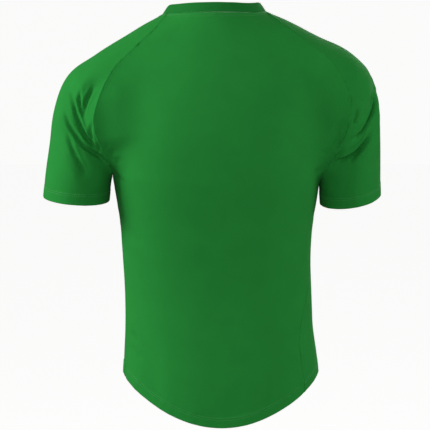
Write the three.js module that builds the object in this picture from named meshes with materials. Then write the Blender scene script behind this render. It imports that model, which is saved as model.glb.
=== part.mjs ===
// A football jersey: raglan short sleeves, a rib crew neck and a hem that drops at the back.
// It is filled out as when worn, and empty.
// Millimetres. +Z is up, the back faces +Y, the front faces -Y, and +X is the wearer's left.
// The origin is the middle of the neck opening, level with the shoulders beside the collar.

import * as THREE from 'three';

// Cloth and sewing
const CLOTH = 1.7;
const SEAM_GAP = 0.3;
const HEM = { height: 18, cloth: 2.7, step: 1.5 };
const CUFF = { height: 20, cloth: 2.7, step: 1.5 };
const COLLAR = { height: 17.5, cloth: 2.4, lean: { back: 0.38, side: 0.66, front: 0.52 } };
const JERSEY_GREEN = 0x1f8a3c;
const RIB_GREEN = 0x1d8439;

// How finely each panel is divided
const GRID = { bodyColumns: 18, sleeveColumns: 32, raglanRows: 26, sideRows: 18, collarSkip: 4 };
const RAY_SAMPLES = 96;
// Sleeve columns crowd together on the back and the front of the arm, where the folds are
const SLEEVE_CROWDING = 0.026;

// The body of the figure that fills the cloth: half widths and depths of its level sections.
// square is the power of each rounded outline, 2 for an ellipse.
const TRUNK = [
  { z: -680, left: 156, right: 178, back: 106, front: 114, square: 2.3 },
  { z: -594, left: 153, right: 176, back: 102, front: 113, square: 2.3 },
  { z: -554, left: 151, right: 172, back: 97, front: 111, square: 2.3 },
  { z: -514, left: 149, right: 166, back: 93, front: 109, square: 2.3 },
  { z: -450, left: 149, right: 162, back: 89, front: 109, square: 2.3 },
  { z: -390, left: 152, right: 160, back: 91.5, front: 112, square: 2.35 },
  { z: -334, left: 155, right: 164, back: 96.5, front: 119, square: 2.4 },
  { z: -296, left: 161, right: 171, back: 101.5, front: 124, square: 2.45 },
  { z: -262, left: 166, right: 173, back: 105.5, front: 126, square: 2.45 },
  { z: -210, left: 164, right: 172, back: 108.5, front: 124, square: 2.45 },
  { z: -160, left: 160, right: 168, back: 107, front: 114, square: 2.4 },
  { z: -110, left: 154, right: 164, back: 100, front: 98, square: 2.35 },
  { z: -75, left: 142, right: 152, back: 91, front: 82, square: 2.25 },
  { z: -45, left: 118, right: 128, back: 80, front: 70, square: 2.15 },
  { z: -20, left: 92, right: 96, back: 70, front: 62, square: 2.05 },
  { z: 2, left: 76, right: 77, back: 62, front: 55, square: 2 },
  { z: 20, left: 67, right: 67, back: 57, front: 48, square: 2 },
  { z: 50, left: 60, right: 60, back: 52, front: 44, square: 2 },
];

// Shoulder and arm on each side: a bent tube, from inside the neck to past the cuff.
// out is the distance from the middle, half the half thickness seen from behind, deep from the side.
const LIMBS = {
  left: [
    { out: 30, y: 6, z: -42, half: 42, deep: 48 },
    { out: 71, y: 7, z: -52, half: 53, deep: 52 },
    { out: 118, y: 7, z: -77, half: 52, deep: 57 },
    { out: 160, y: 5, z: -105, half: 54, deep: 62 },
    { out: 188, y: 3, z: -134, half: 63, deep: 65 },
    { out: 204, y: 2, z: -166, half: 59, deep: 67 },
    { out: 212, y: 0, z: -210, half: 57, deep: 67 },
    { out: 221.5, y: -3, z: -258, half: 55, deep: 65 },
    { out: 227, y: -6, z: -306, half: 54.5, deep: 62 },
    { out: 232, y: -9, z: -350, half: 54, deep: 61 },
  ],
  right: [
    { out: 30, y: 6, z: -38, half: 44, deep: 48 },
    { out: 75, y: 8, z: -48, half: 54, deep: 52 },
    { out: 108, y: 8, z: -61, half: 53, deep: 55 },
    { out: 148, y: 7, z: -82, half: 53, deep: 60 },
    { out: 186, y: 5, z: -104, half: 57.5, deep: 63 },
    { out: 207, y: 3, z: -126, half: 58, deep: 65 },
    { out: 217, y: 0, z: -158, half: 53.5, deep: 66 },
    { out: 222, y: -5, z: -206, half: 53, deep: 66 },
    { out: 225, y: -11, z: -264, half: 52, deep: 64 },
    { out: 228, y: -17, z: -306, half: 51, deep: 61 },
    { out: 231, y: -23, z: -350, half: 51, deep: 60 },
  ],
};

// Where the sleeve meets the side seam, and how far the cuff is from it along the arm.
// tilt is how much further the cuff leans than a straight cut, in degrees.
const ARMS = {
  left: { side: 1, underarm: [166.4, 0, -261], sleeveBelow: 47, tilt: -2 },
  right: { side: -1, underarm: [-173.2, -4, -277], sleeveBelow: 30, tilt: 7 },
};

// How softly the cloth bridges the hollow between arm and body, by height above the underarm
const BRIDGE = [
  { above: 0, reach: 5 },
  { above: 15, reach: 18 },
  { above: 35, reach: 42 },
  { above: 70, reach: 66 },
  { above: 110, reach: 62 },
  { above: 160, reach: 38 },
  { above: 230, reach: 24 },
  { above: 300, reach: 22 },
];

// The neck seam: a ring seen from above, which drops towards the front.
// The angles run from the middle of the back, and are where the four raglan seams start.
const NECK = {
  half: 84, back: 62, front: 76, top: 8.5, drop: 74, curve: 3.1,
  left: { back: 66, front: 113 },
  right: { back: 72, front: 113 },
};

// Raglan seams between the neck and the underarm, as places on the cloth
const RAGLAN = {
  left: {
    back: [
      { out: 100, y: 46, z: -17 }, { out: 123, y: 58, z: -33 }, { out: 145, y: 66, z: -54 },
      { out: 163, y: 71, z: -72 }, { out: 177, y: 72, z: -101 }, { out: 189, y: 71, z: -134 },
      { out: 196, y: 68, z: -160 }, { out: 195, y: 62, z: -182 }, { out: 187, y: 53, z: -204 },
      { out: 177, y: 41, z: -226 }, { out: 169.5, y: 24, z: -246 },
    ],
    front: [
      { out: 97, y: -48, z: -33 }, { out: 119, y: -62, z: -58 }, { out: 141, y: -72, z: -86 },
      { out: 160, y: -77, z: -117 }, { out: 175, y: -76, z: -150 }, { out: 182, y: -70, z: -182 },
      { out: 180, y: -58, z: -210 }, { out: 173, y: -40, z: -233 }, { out: 168, y: -20, z: -250 },
    ],
  },
  right: {
    back: [
      { out: 103, y: 34, z: -5 }, { out: 132, y: 50, z: -22 }, { out: 156, y: 60, z: -39 },
      { out: 181, y: 66, z: -60 }, { out: 196, y: 69, z: -80 }, { out: 208, y: 70, z: -102 },
      { out: 216, y: 69, z: -124 }, { out: 218, y: 67, z: -148 }, { out: 214, y: 61, z: -175 },
      { out: 204, y: 52, z: -200 }, { out: 192, y: 41, z: -229 }, { out: 180, y: 26, z: -255 },
    ],
    front: [
      { out: 100, y: -48, z: -28 }, { out: 124, y: -62, z: -52 }, { out: 148, y: -72, z: -82 },
      { out: 168, y: -78, z: -116 }, { out: 184, y: -78, z: -152 }, { out: 191, y: -73, z: -188 },
      { out: 188, y: -62, z: -220 }, { out: 180, y: -43, z: -247 }, { out: 175, y: -24, z: -265 },
    ],
  },
};

// Side seams: how far each lies behind the middle of the side, by height
const SIDE_SEAM = [
  { z: -583, left: 27, right: 66 },
  { z: -521, left: 26, right: 61 },
  { z: -460, left: 23, right: 42 },
  { z: -400, left: 18, right: 18 },
  { z: -330, left: 9, right: 4 },
  { z: -277, left: 1, right: -4 },
  { z: -261, left: 0, right: -4 },
];
// The hem, as a curve round the garment: level at the sides, lower behind and in front
const HEMLINE = {
  side: -586, backDrop: 75, frontDrop: 26, middle: -11, half: 164.5, deep: 106,
  power: { left: 2.2, right: 2.15 },
};

// Folds: each runs from its start by a middle place to its end, seen from behind or from in front.
// deep is the depth of the trough and wide its half width.
const FOLDS = [
  { seen: 'back', x1: 236, z1: -108, x2: 217, z2: -164, x3: 184, z3: -220, deep: 8, wide: 11 },
  { seen: 'back', x1: 218, z1: -118, x2: 214, z2: -146, x3: 208, z3: -170, deep: 5.5, wide: 10.5 },
  { seen: 'back', x1: 189, z1: -107, x2: 202, z2: -126, x3: 209, z3: -156, deep: 7, wide: 10.5 },
  { seen: 'back', x1: 244, z1: -138, x2: 217, z2: -194, x3: 172, z3: -240, deep: 8, wide: 11 },
  { seen: 'back', x1: 240, z1: -175, x2: 219, z2: -228, x3: 203, z3: -256, deep: 5.5, wide: 11 },
  { seen: 'back', x1: -262, z1: -106, x2: -253, z2: -152, x3: -221, z3: -202, deep: 10, wide: 12 },
  { seen: 'back', x1: -260, z1: -163, x2: -240, z2: -206, x3: -193, z3: -235, deep: 8, wide: 11 },
  { seen: 'back', x1: -233, z1: -214, x2: -221, z2: -232, x3: -208, z3: -248, deep: 4.5, wide: 10.5 },
  { seen: 'back', x1: -216, z1: -152, x2: -207, z2: -183, x3: -193, z3: -212, deep: 5.5, wide: 10.5 },
  { seen: 'back', x1: -206, z1: -56, x2: -204, z2: -78, x3: -212, z3: -104, deep: 2.5, wide: 13 },
  { seen: 'front', x1: 238, z1: -118, x2: 216, z2: -170, x3: 182, z3: -216, deep: 7.5, wide: 12 },
  { seen: 'front', x1: 242, z1: -160, x2: 220, z2: -206, x3: 176, z3: -238, deep: 7, wide: 11 },
  { seen: 'front', x1: 205, z1: -112, x2: 206, z2: -140, x3: 198, z3: -172, deep: 5, wide: 11 },
  { seen: 'front', x1: 234, z1: -206, x2: 220, z2: -240, x3: 206, z3: -262, deep: 4.5, wide: 11 },
  { seen: 'front', x1: 118, z1: -112, x2: 138, z2: -160, x3: 160, z3: -212, deep: 4, wide: 13 },
  { seen: 'front', x1: -246, z1: -112, x2: -228, z2: -164, x3: -190, z3: -218, deep: 8, wide: 12 },
  { seen: 'front', x1: -252, z1: -162, x2: -226, z2: -212, x3: -186, z3: -248, deep: 7, wide: 12 },
  { seen: 'front', x1: -214, z1: -120, x2: -212, z2: -148, x3: -203, z3: -184, deep: 5, wide: 11 },
  { seen: 'front', x1: -120, z1: -104, x2: -142, z2: -152, x3: -168, z3: -214, deep: 4.5, wide: 13 },
  { seen: 'front', x1: 132, z1: -300, x2: 96, z2: -372, x3: 84, z3: -450, deep: 3, wide: 20 },
  { seen: 'front', x1: -138, z1: -316, x2: -104, z2: -384, x3: -88, z3: -470, deep: 3, wide: 20 },
  { seen: 'front', x1: 60, z1: -470, x2: 52, z2: -540, x3: 56, z3: -606, deep: 3, wide: 18 },
  { seen: 'front', x1: -46, z1: -486, x2: -60, z2: -548, x3: -58, z3: -610, deep: 2.5, wide: 20 },
  { seen: 'back', x1: 118, z1: -500, x2: 112, z2: -560, x3: 104, z3: -628, deep: 2, wide: 18 },
  { seen: 'back', x1: -84, z1: -540, x2: -90, z2: -590, x3: -86, z3: -640, deep: 1.5, wide: 18 },
];
const FOLD_STEPS = 14;

const UP = new THREE.Vector3(0, 0, 1);
const DOWN = new THREE.Vector3(0, 0, -1);
const AFT = new THREE.Vector3(0, 1, 0);

/** Smooth value of one named column of a table, at a place along its rising key column. */
function readTable(rows, key, column, at) {
  const last = rows.length - 1;
  const place = THREE.MathUtils.clamp(at, rows[0][key], rows[last][key]);
  let i = 0;
  while (i < last - 1 && place > rows[i + 1][key]) i += 1;
  const slopeAt = (j) => {
    const before = rows[Math.max(0, j - 1)];
    const after = rows[Math.min(last, j + 1)];
    return (after[column] - before[column]) / (after[key] - before[key]);
  };
  const span = rows[i + 1][key] - rows[i][key];
  const t = (place - rows[i][key]) / span;
  const t2 = t * t;
  const t3 = t2 * t;
  return rows[i][column] * (2 * t3 - 3 * t2 + 1)
    + rows[i + 1][column] * (3 * t2 - 2 * t3)
    + slopeAt(i) * span * (t3 - 2 * t2 + t)
    + slopeAt(i + 1) * span * (t3 - t2);
}

/** About the distance from a point to the trunk, negative inside. */
function trunkField(p) {
  const half = readTable(TRUNK, 'z', p.x >= 0 ? 'left' : 'right', p.z);
  const deep = readTable(TRUNK, 'z', p.y >= 0 ? 'back' : 'front', p.z);
  const power = readTable(TRUNK, 'z', 'square', p.z);
  const u = Math.abs(p.x) / half + 1e-6;
  const v = Math.abs(p.y) / deep + 1e-6;
  const size = (u ** power + v ** power) ** (1 / power);
  const slope = Math.hypot(u ** (power - 1) / half, v ** (power - 1) / deep) / size ** (power - 1);
  return (size - 1) / slope;
}

/** The bent tube of one arm, as close-set stations along its middle line. */
function makeLimb(name) {
  const arm = ARMS[name];
  const rows = LIMBS[name];
  const middle = new THREE.CatmullRomCurve3(
    rows.map((row) => new THREE.Vector3(arm.side * row.out, row.y, row.z)),
  );
  const girth = new THREE.CatmullRomCurve3(
    rows.map((row) => new THREE.Vector3(row.half, row.deep, 0)),
  );
  const count = 12 * (rows.length - 1);
  const stations = [];
  let travelled = 0;
  for (let i = 0; i <= count; i += 1) {
    const t = i / count;
    const centre = middle.getPoint(t);
    const along = middle.getTangent(t);
    const aft = AFT.clone().addScaledVector(along, -AFT.dot(along)).normalize();
    const out = new THREE.Vector3().crossVectors(along, aft).multiplyScalar(arm.side);
    const size = girth.getPoint(t);
    if (i > 0) travelled += centre.distanceTo(stations[i - 1].centre);
    stations.push({ centre, along, aft, out, half: size.x, deep: size.y, travelled });
  }
  return { name, side: arm.side, stations, underarm: new THREE.Vector3(...arm.underarm), arm };
}

/** The station at a distance along the tube, between its neighbours. */
function stationAt(limb, distance) {
  const list = limb.stations;
  let i = 0;
  while (i < list.length - 2 && distance > list[i + 1].travelled) i += 1;
  const a = list[i];
  const b = list[i + 1];
  const t = (distance - a.travelled) / (b.travelled - a.travelled);
  return {
    centre: a.centre.clone().lerp(b.centre, t),
    along: a.along.clone().lerp(b.along, t).normalize(),
    aft: a.aft.clone().lerp(b.aft, t).normalize(),
    out: a.out.clone().lerp(b.out, t).normalize(),
    half: THREE.MathUtils.lerp(a.half, b.half, t),
    deep: THREE.MathUtils.lerp(a.deep, b.deep, t),
  };
}

/** The nearest place on a tube's middle line: its segment, how far into it, and the distance. */
function nearestOnLimb(limb, p) {
  const list = limb.stations;
  const stride = 6;
  let close = 0;
  for (let i = 0; i < list.length; i += stride) {
    if (list[i].centre.distanceToSquared(p) < list[close].centre.distanceToSquared(p)) close = i;
  }
  const best = { i: 0, t: 0, distance: Infinity };
  const last = Math.min(list.length - 1, close + stride);
  for (let i = Math.max(0, close - stride); i < last; i += 1) {
    const a = list[i].centre;
    const b = list[i + 1].centre;
    const dx = b.x - a.x;
    const dy = b.y - a.y;
    const dz = b.z - a.z;
    const raw = ((p.x - a.x) * dx + (p.y - a.y) * dy + (p.z - a.z) * dz) / (dx * dx + dy * dy + dz * dz);
    const t = Math.min(1, Math.max(0, raw));
    const distance = Math.sqrt(
      (p.x - a.x - t * dx) ** 2 + (p.y - a.y - t * dy) ** 2 + (p.z - a.z - t * dz) ** 2,
    );
    if (distance < best.distance) {
      best.i = i;
      best.t = t;
      best.distance = distance;
    }
  }
  return best;
}

/** About the distance from a point to the tube of one arm, negative inside. */
function limbField(limb, p) {
  const { i, t, distance } = nearestOnLimb(limb, p);
  const a = limb.stations[i];
  const b = limb.stations[i + 1];
  const half = a.half + (b.half - a.half) * t;
  const deep = a.deep + (b.deep - a.deep) * t;
  const centre = a.centre.clone().lerp(b.centre, t);
  const aft = a.aft.clone().lerp(b.aft, t);
  const back = aft.dot(centre.subVectors(p, centre));
  const level = Math.sqrt(Math.max(0, distance * distance - back * back));
  const size = Math.hypot(level / half, back / deep) + 1e-6;
  const slope = Math.hypot(level / half ** 2, back / deep ** 2) / size + 1e-6;
  return (size - 1) / slope;
}

/** The smaller of two distances, rounded off where they are nearly alike. */
function softLesser(a, b, reach) {
  const overlap = Math.max(reach - Math.abs(a - b), 0) / reach;
  return Math.min(a, b) - overlap * overlap * reach / 4;
}

const limbs = { left: makeLimb('left'), right: makeLimb('right') };

/** About the distance from a point to the whole figure, with the cloth's bridges, negative inside. */
function figureField(p) {
  let distance = trunkField(p);
  for (const limb of Object.values(limbs)) {
    const reach = readTable(BRIDGE, 'above', 'reach', p.z - limb.underarm.z);
    distance = softLesser(distance, limbField(limb, p), reach);
  }
  return distance;
}

/** The outward direction of a field at a point, with its steepness. */
function slopeOf(field, p) {
  const step = 0.8;
  const q = p.clone();
  const read = (axis) => {
    q.copy(p)[axis] += step;
    const ahead = field(q);
    q.copy(p)[axis] -= step;
    return (ahead - field(q)) / (2 * step);
  };
  return new THREE.Vector3(read('x'), read('y'), read('z'));
}

/** Moves a point to the surface of a field, a few millimetres at a time. */
function settle(field, p, strength = 1) {
  for (let i = 0; i < 10; i += 1) {
    const slope = slopeOf(field, p);
    const steepness = slope.length();
    if (steepness < 0.4) break;
    const step = THREE.MathUtils.clamp(field(p) / steepness, -4, 4);
    p.addScaledVector(slope, -strength * step / steepness);
  }
  return p;
}

/** Where a ray that starts inside a field first leaves it. */
function rayOut(field, from, direction) {
  const p = new THREE.Vector3();
  const read = (distance) => field(p.copy(from).addScaledVector(direction, distance));
  const stride = 5;
  let near = 0;
  let far = stride;
  while (far < 400 && read(far) < 0) {
    near = far;
    far += stride;
  }
  for (let i = 0; i < 18; i += 1) {
    const middle = (near + far) / 2;
    if (read(middle) < 0) near = middle;
    else far = middle;
  }
  return from.clone().addScaledVector(direction, (near + far) / 2);
}

/** The same line of points with new ones set at even distances along it, or crowded at two places. */
function respace(points, count, crowding = 0) {
  const lengths = [0];
  for (let i = 1; i < points.length; i += 1) {
    lengths.push(lengths[i - 1] + points[i].distanceTo(points[i - 1]));
  }
  const total = lengths[lengths.length - 1];
  const spaced = [];
  let i = 0;
  for (let n = 0; n <= count; n += 1) {
    const share = n / count;
    const wanted = total * (share + crowding * Math.sin(4 * Math.PI * share));
    while (i < points.length - 2 && wanted > lengths[i + 1]) i += 1;
    const t = (wanted - lengths[i]) / (lengths[i + 1] - lengths[i]);
    spaced.push(points[i].clone().lerp(points[i + 1], t));
  }
  return spaced;
}

/** How far along a line of points each one lies, from 0 to 1. */
function shares(points) {
  const lengths = [0];
  for (let i = 1; i < points.length; i += 1) {
    lengths.push(lengths[i - 1] + points[i].distanceTo(points[i - 1]));
  }
  return lengths.map((length) => length / lengths[lengths.length - 1]);
}

/** A place on the cloth: its point, the outward direction there, and the cloth's wall. */
function clothPoint(field, point, wall = CLOTH) {
  return { point, normal: slopeOf(field, point).normalize(), wall };
}

/** The neck seam at an angle from the middle of the back, positive to the wearer's left. */
function neckPoint(degrees) {
  const angle = THREE.MathUtils.degToRad(degrees);
  const middle = (NECK.back - NECK.front) / 2;
  const deep = (NECK.back + NECK.front) / 2;
  const forward = (1 - Math.cos(angle)) / 2;
  const point = new THREE.Vector3(
    NECK.half * Math.sin(angle),
    middle + deep * Math.cos(angle),
    NECK.top - NECK.drop * forward ** NECK.curve,
  );
  return settle(figureField, point);
}

/** Evenly spaced places along part of the neck seam. */
function neckStretch(from, to, count, crowding = 0) {
  const dense = [];
  const steps = 40;
  for (let i = 0; i <= steps; i += 1) dense.push(neckPoint(from + (to - from) * i / steps));
  return respace(dense, count, crowding).map((point) => clothPoint(figureField, point));
}

/** One raglan seam, from the neck to the underarm. */
function raglanSeam(name, face) {
  const limb = limbs[name];
  const along = [neckPoint(limb.side * NECK[name][face])];
  for (const row of RAGLAN[name][face]) {
    along.push(new THREE.Vector3(limb.side * row.out, row.y, row.z));
  }
  along.push(limb.underarm);
  const line = new THREE.CatmullRomCurve3(along, false, 'centripetal').getSpacedPoints(GRID.raglanRows);
  const nearUnderarm = 34;
  let steady = null;
  return line.map((point, i) => {
    const share = Math.min(1, point.distanceTo(limb.underarm) / nearUnderarm);
    if (i > 0 && i < GRID.raglanRows) settle(figureField, point, share * share);
    const place = clothPoint(figureField, point);
    if (share < 1) {
      place.normal.copy(DOWN).lerp(steady, share).normalize();
      place.apart = new THREE.Vector3(limb.side * (1 - share), 0, 0);
    } else {
      steady = place.normal;
    }
    return place;
  });
}

/** Heights above the hem at the side where the rows of cloth lie, with the hem's own rows first. */
function rowHeights(total, fold, rows) {
  const heights = [0, fold.height / 2, fold.height, fold.height + fold.step];
  const left = rows - heights.length + 1;
  for (let i = 1; i <= left; i += 1) {
    heights.push(fold.height + fold.step + (total - fold.height - fold.step) * i / left);
  }
  return heights;
}

/** The wall of a row: doubled where the cloth is folded up and sewn. */
function rowWall(height, fold) {
  return height > fold.height + fold.step / 2 ? CLOTH : fold.cloth;
}

/** The height of the hem at a place round the garment. */
function hemHeight(p) {
  const turn = Math.atan2((p.x - HEMLINE.middle) / HEMLINE.half, Math.abs(p.y) / HEMLINE.deep);
  const drop = p.y > 0 ? HEMLINE.backDrop : HEMLINE.frontDrop;
  const power = turn > 0 ? HEMLINE.power.left : HEMLINE.power.right;
  return HEMLINE.side - drop * Math.abs(Math.cos(turn)) ** power;
}

/** One side seam, from the hem to the underarm. */
function sideSeam(name) {
  const limb = limbs[name];
  const outward = new THREE.Vector3(limb.side, 0, 0);
  const start = new THREE.Vector3(0, SIDE_SEAM[0][name], HEMLINE.side);
  const hem = hemHeight(rayOut(trunkField, start, outward));
  const heights = rowHeights(limb.underarm.z - hem, HEM, GRID.sideRows);
  return heights.map((height, i) => {
    if (i === heights.length - 1) {
      const apart = outward.clone();
      return { point: limb.underarm.clone(), normal: DOWN.clone(), wall: CLOTH, apart };
    }
    const z = hem + height;
    const inside = new THREE.Vector3(0, readTable(SIDE_SEAM, 'z', name, z), z);
    const point = rayOut(trunkField, inside, outward);
    return clothPoint(trunkField, point, rowWall(height, HEM));
  });
}

/** Leads the ends of a traced line to the places that they have to meet, fading inwards. */
function leadEnds(traced, first, last) {
  const reach = 0.3;
  const count = traced.length - 1;
  const firstMiss = first.clone().sub(traced[0]);
  const lastMiss = last.clone().sub(traced[count]);
  traced.forEach((point, i) => {
    const fromFirst = Math.max(0, 1 - i / count / reach);
    const fromLast = Math.max(0, 1 - (1 - i / count) / reach);
    point.addScaledVector(firstMiss, fromFirst ** 2).addScaledVector(lastMiss, fromLast ** 2);
  });
  return traced;
}

/** Spaced cloth along a traced line, settled on the figure where it bridges arm and body. */
function clothRow(traced, ends, count, { field, bridged, wall, crowding }) {
  const surface = bridged ? figureField : field;
  const row = respace(traced, count, crowding).map((point, i) => {
    if (bridged && i > 0 && i < count) settle(figureField, point);
    return clothPoint(surface, point, wall);
  });
  if (ends.first) row[0] = ends.first;
  if (ends.last) row[count] = ends.last;
  return row;
}

/** A line round one face of the trunk between a place on each side, at its own height. */
function traceBody(left, right, facing, lift) {
  const start = Math.atan2(left.point.x, facing * left.point.y);
  const end = Math.atan2(right.point.x, facing * right.point.y);
  const trace = (spread) => spread.map((share, i) => {
    const angle = start + (end - start) * i / RAY_SAMPLES;
    const z = THREE.MathUtils.lerp(left.point.z, right.point.z, share) + lift(share);
    const direction = new THREE.Vector3(Math.sin(angle), facing * Math.cos(angle), 0);
    return rayOut(trunkField, new THREE.Vector3(0, 0, z), direction);
  });
  const even = Array.from({ length: RAY_SAMPLES + 1 }, (unused, i) => i / RAY_SAMPLES);
  return leadEnds(trace(shares(trace(even))), left.point, right.point);
}

/** How far a curve along a panel's edge lies from the straight line between its ends. */
function edgeDip(points, height) {
  const spread = shares(points);
  const heights = points.map(height);
  const last = points.length - 1;
  return (share) => {
    let i = 0;
    while (i < last - 1 && share > spread[i + 1]) i += 1;
    const t = (share - spread[i]) / (spread[i + 1] - spread[i]);
    return THREE.MathUtils.lerp(heights[i], heights[i + 1], t)
      - THREE.MathUtils.lerp(heights[0], heights[last], share);
  };
}

/** The grid of the back or the front, from the hem to the neck. */
function bodyGrid(face, seams) {
  const facing = face === 'back' ? 1 : -1;
  const { left: leftSide, right: rightSide } = seams.side;
  const levelLine = traceBody(leftSide[0], rightSide[0], facing, () => 0);
  const hemDip = edgeDip(levelLine, hemHeight);
  const grid = leftSide.map((left, j) => {
    const up = (left.point.z - leftSide[0].point.z) / (limbs.left.underarm.z - leftSide[0].point.z);
    const spread = Math.max(0, (up - 0.06) / 0.94);
    const lift = (share) => hemDip(share) * (1 - spread * (2 - spread));
    const line = traceBody(left, rightSide[j], facing, lift);
    const ends = { first: left, last: rightSide[j] };
    return clothRow(line, ends, GRID.bodyColumns, { field: trunkField, wall: left.wall });
  });
  const neck = seams.neck[face];
  const neckDip = edgeDip(neck.map((place) => place.point), (point) => point.z);
  for (let j = GRID.raglanRows - 1; j >= 1; j -= 1) {
    const up = 1 - j / GRID.raglanRows;
    const first = seams.left[face][j];
    const last = seams.right[face][j];
    const line = traceBody(first, last, facing, (share) => neckDip(share) * up ** 1.6);
    grid.push(clothRow(line, { first, last }, GRID.bodyColumns, { bridged: true, wall: CLOTH }));
  }
  grid.push(neck);
  return grid;
}

/** The distances along an arm of the sleeve's rows above the underarm, even along its crown. */
function crownStations(limb, crownStart) {
  const first = nearestOnLimb(limb, crownStart);
  const last = nearestOnLimb(limb, limb.underarm);
  const travel = ({ i, t }) => THREE.MathUtils.lerp(
    limb.stations[i].travelled, limb.stations[i + 1].travelled, t,
  );
  const from = travel(first);
  const to = travel(last);
  const steps = 80;
  const crown = [];
  for (let i = 0; i <= steps; i += 1) {
    const station = stationAt(limb, THREE.MathUtils.lerp(from, to, i / steps));
    crown.push(station.centre.clone().addScaledVector(station.out, station.half));
  }
  const reached = shares(crown);
  const distances = [];
  let i = 0;
  for (let k = 0; k <= GRID.raglanRows; k += 1) {
    const wanted = k / GRID.raglanRows;
    while (i < steps - 1 && wanted > reached[i + 1]) i += 1;
    const t = (wanted - reached[i]) / (reached[i + 1] - reached[i]);
    distances.push(THREE.MathUtils.lerp(from, to, (i + t) / steps));
  }
  return distances;
}

/** A line of cloth round an arm, from its back end over the outside to its front end. */
function traceSleeve(limb, station, angles, shift) {
  const field = (p) => limbField(limb, p);
  const traced = [];
  for (let i = 0; i <= RAY_SAMPLES; i += 1) {
    const angle = THREE.MathUtils.lerp(angles.back, angles.front, i / RAY_SAMPLES);
    const from = station.centre.clone().addScaledVector(station.along, shift(angle));
    const direction = station.out.clone().multiplyScalar(Math.cos(angle))
      .addScaledVector(station.aft, Math.sin(angle));
    traced.push(rayOut(field, from, direction));
  }
  return traced;
}

/** One row of the sleeve above the underarm, between its two raglan seams. */
function raglanRow(limb, station, first, last, closed) {
  const view = (place) => {
    const reach = place.point.clone().sub(station.centre);
    return {
      angle: Math.atan2(reach.dot(station.aft), reach.dot(station.out)),
      shift: reach.dot(station.along),
    };
  };
  const back = view(first);
  const front = view(last);
  const angles = closed ? { back: Math.PI, front: -Math.PI } : { back: back.angle, front: front.angle };
  const shift = (angle) => (angle > 0
    ? back.shift * (angle / angles.back) ** 2
    : front.shift * (angle / angles.front) ** 2);
  const traced = traceSleeve(limb, station, angles, shift);
  return leadEnds(traced, first.point, last.point);
}

/** Distances from the cuff of the sleeve's rows below the underarm, with the hem's own rows last. */
function cuffHeights(length) {
  const bare = length - CUFF.height - CUFF.step;
  const rows = Math.max(1, Math.round(bare / 13));
  const heights = [];
  for (let i = 1; i <= rows; i += 1) heights.push(CUFF.height + CUFF.step + bare * (1 - i / rows));
  return [...heights, CUFF.height, CUFF.height / 2, 0];
}

/** The grid of one sleeve, from the neck to the cuff; below the underarm its rows are closed. */
function sleeveGrid(name, seams) {
  const limb = limbs[name];
  const field = (p) => limbField(limb, p);
  const neck = seams.neck[name];
  const distances = crownStations(limb, neck[GRID.sleeveColumns / 2].point);
  const grid = [neck];
  for (let k = 1; k <= GRID.raglanRows; k += 1) {
    const closed = k === GRID.raglanRows;
    const first = seams[name].back[k];
    const last = seams[name].front[k];
    const line = raglanRow(limb, stationAt(limb, distances[k]), first, last, closed);
    const finish = { field, bridged: !closed, wall: CLOTH, crowding: SLEEVE_CROWDING };
    grid.push(clothRow(line, { first, last }, GRID.sleeveColumns, finish));
  }
  const length = limb.arm.sleeveBelow;
  const tilt = Math.tan(THREE.MathUtils.degToRad(limb.arm.tilt));
  for (const height of cuffHeights(length)) {
    const station = stationAt(limb, distances[GRID.raglanRows] + length - height);
    const lean = tilt * Math.sqrt(Math.min(1, (1 - height / length) * 1.4));
    const shift = (angle) => -lean * station.half * Math.cos(angle);
    const line = traceSleeve(limb, station, { back: Math.PI, front: -Math.PI }, shift);
    const finish = { field, wall: rowWall(height, CUFF), crowding: SLEEVE_CROWDING };
    grid.push(clothRow(line, {}, GRID.sleeveColumns, finish));
  }
  return grid;
}

/** The line of a fold on the figure's surface, seen from behind or from in front. */
function foldLine(fold) {
  const facing = fold.seen === 'back' ? 1 : -1;
  const line = new THREE.QuadraticBezierCurve(
    new THREE.Vector2(fold.x1, fold.z1),
    new THREE.Vector2(2 * fold.x2 - (fold.x1 + fold.x3) / 2, 2 * fold.z2 - (fold.z1 + fold.z3) / 2),
    new THREE.Vector2(fold.x3, fold.z3),
  );
  return line.getPoints(FOLD_STEPS).map((place) => {
    const p = new THREE.Vector3(place.x, 0, place.y);
    let near = 160;
    while (near > 0 && figureField(p.set(place.x, facing * near, place.y)) > 0) near -= 3;
    return settle(figureField, p);
  });
}

const foldLines = FOLDS.map((fold) => ({ ...fold, line: foldLine(fold) }));

/** How far the folds move the cloth outwards at a point: troughs with low banks beside them. */
function foldHeight(p) {
  const piece = new THREE.Line3();
  const foot = new THREE.Vector3();
  let height = 0;
  for (const fold of foldLines) {
    let nearest = Infinity;
    let place = 0;
    for (let i = 0; i < FOLD_STEPS; i += 1) {
      piece.set(fold.line[i], fold.line[i + 1]);
      const t = piece.closestPointToPointParameter(p, true);
      const distance = piece.at(t, foot).distanceTo(p);
      if (distance < nearest) {
        nearest = distance;
        place = (i + t) / FOLD_STEPS;
      }
    }
    const across = nearest / fold.wide;
    if (across > 4) continue;
    const swell = Math.sin(Math.PI * (0.08 + 0.84 * place)) ** 0.8;
    const trough = -Math.exp(-across * across);
    const bank = 0.4 * Math.exp(-((across - 1.7) ** 2) / 0.5);
    height += fold.deep * swell * (trough + bank);
  }
  return height;
}

/** Moves every place of a grid by the folds; shared seam places give the same result each time. */
function withFolds(grid) {
  return grid.map((row) => row.map((place) => ({
    ...place,
    point: place.point.clone().addScaledVector(place.normal, foldHeight(place.point)),
  })));
}

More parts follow.
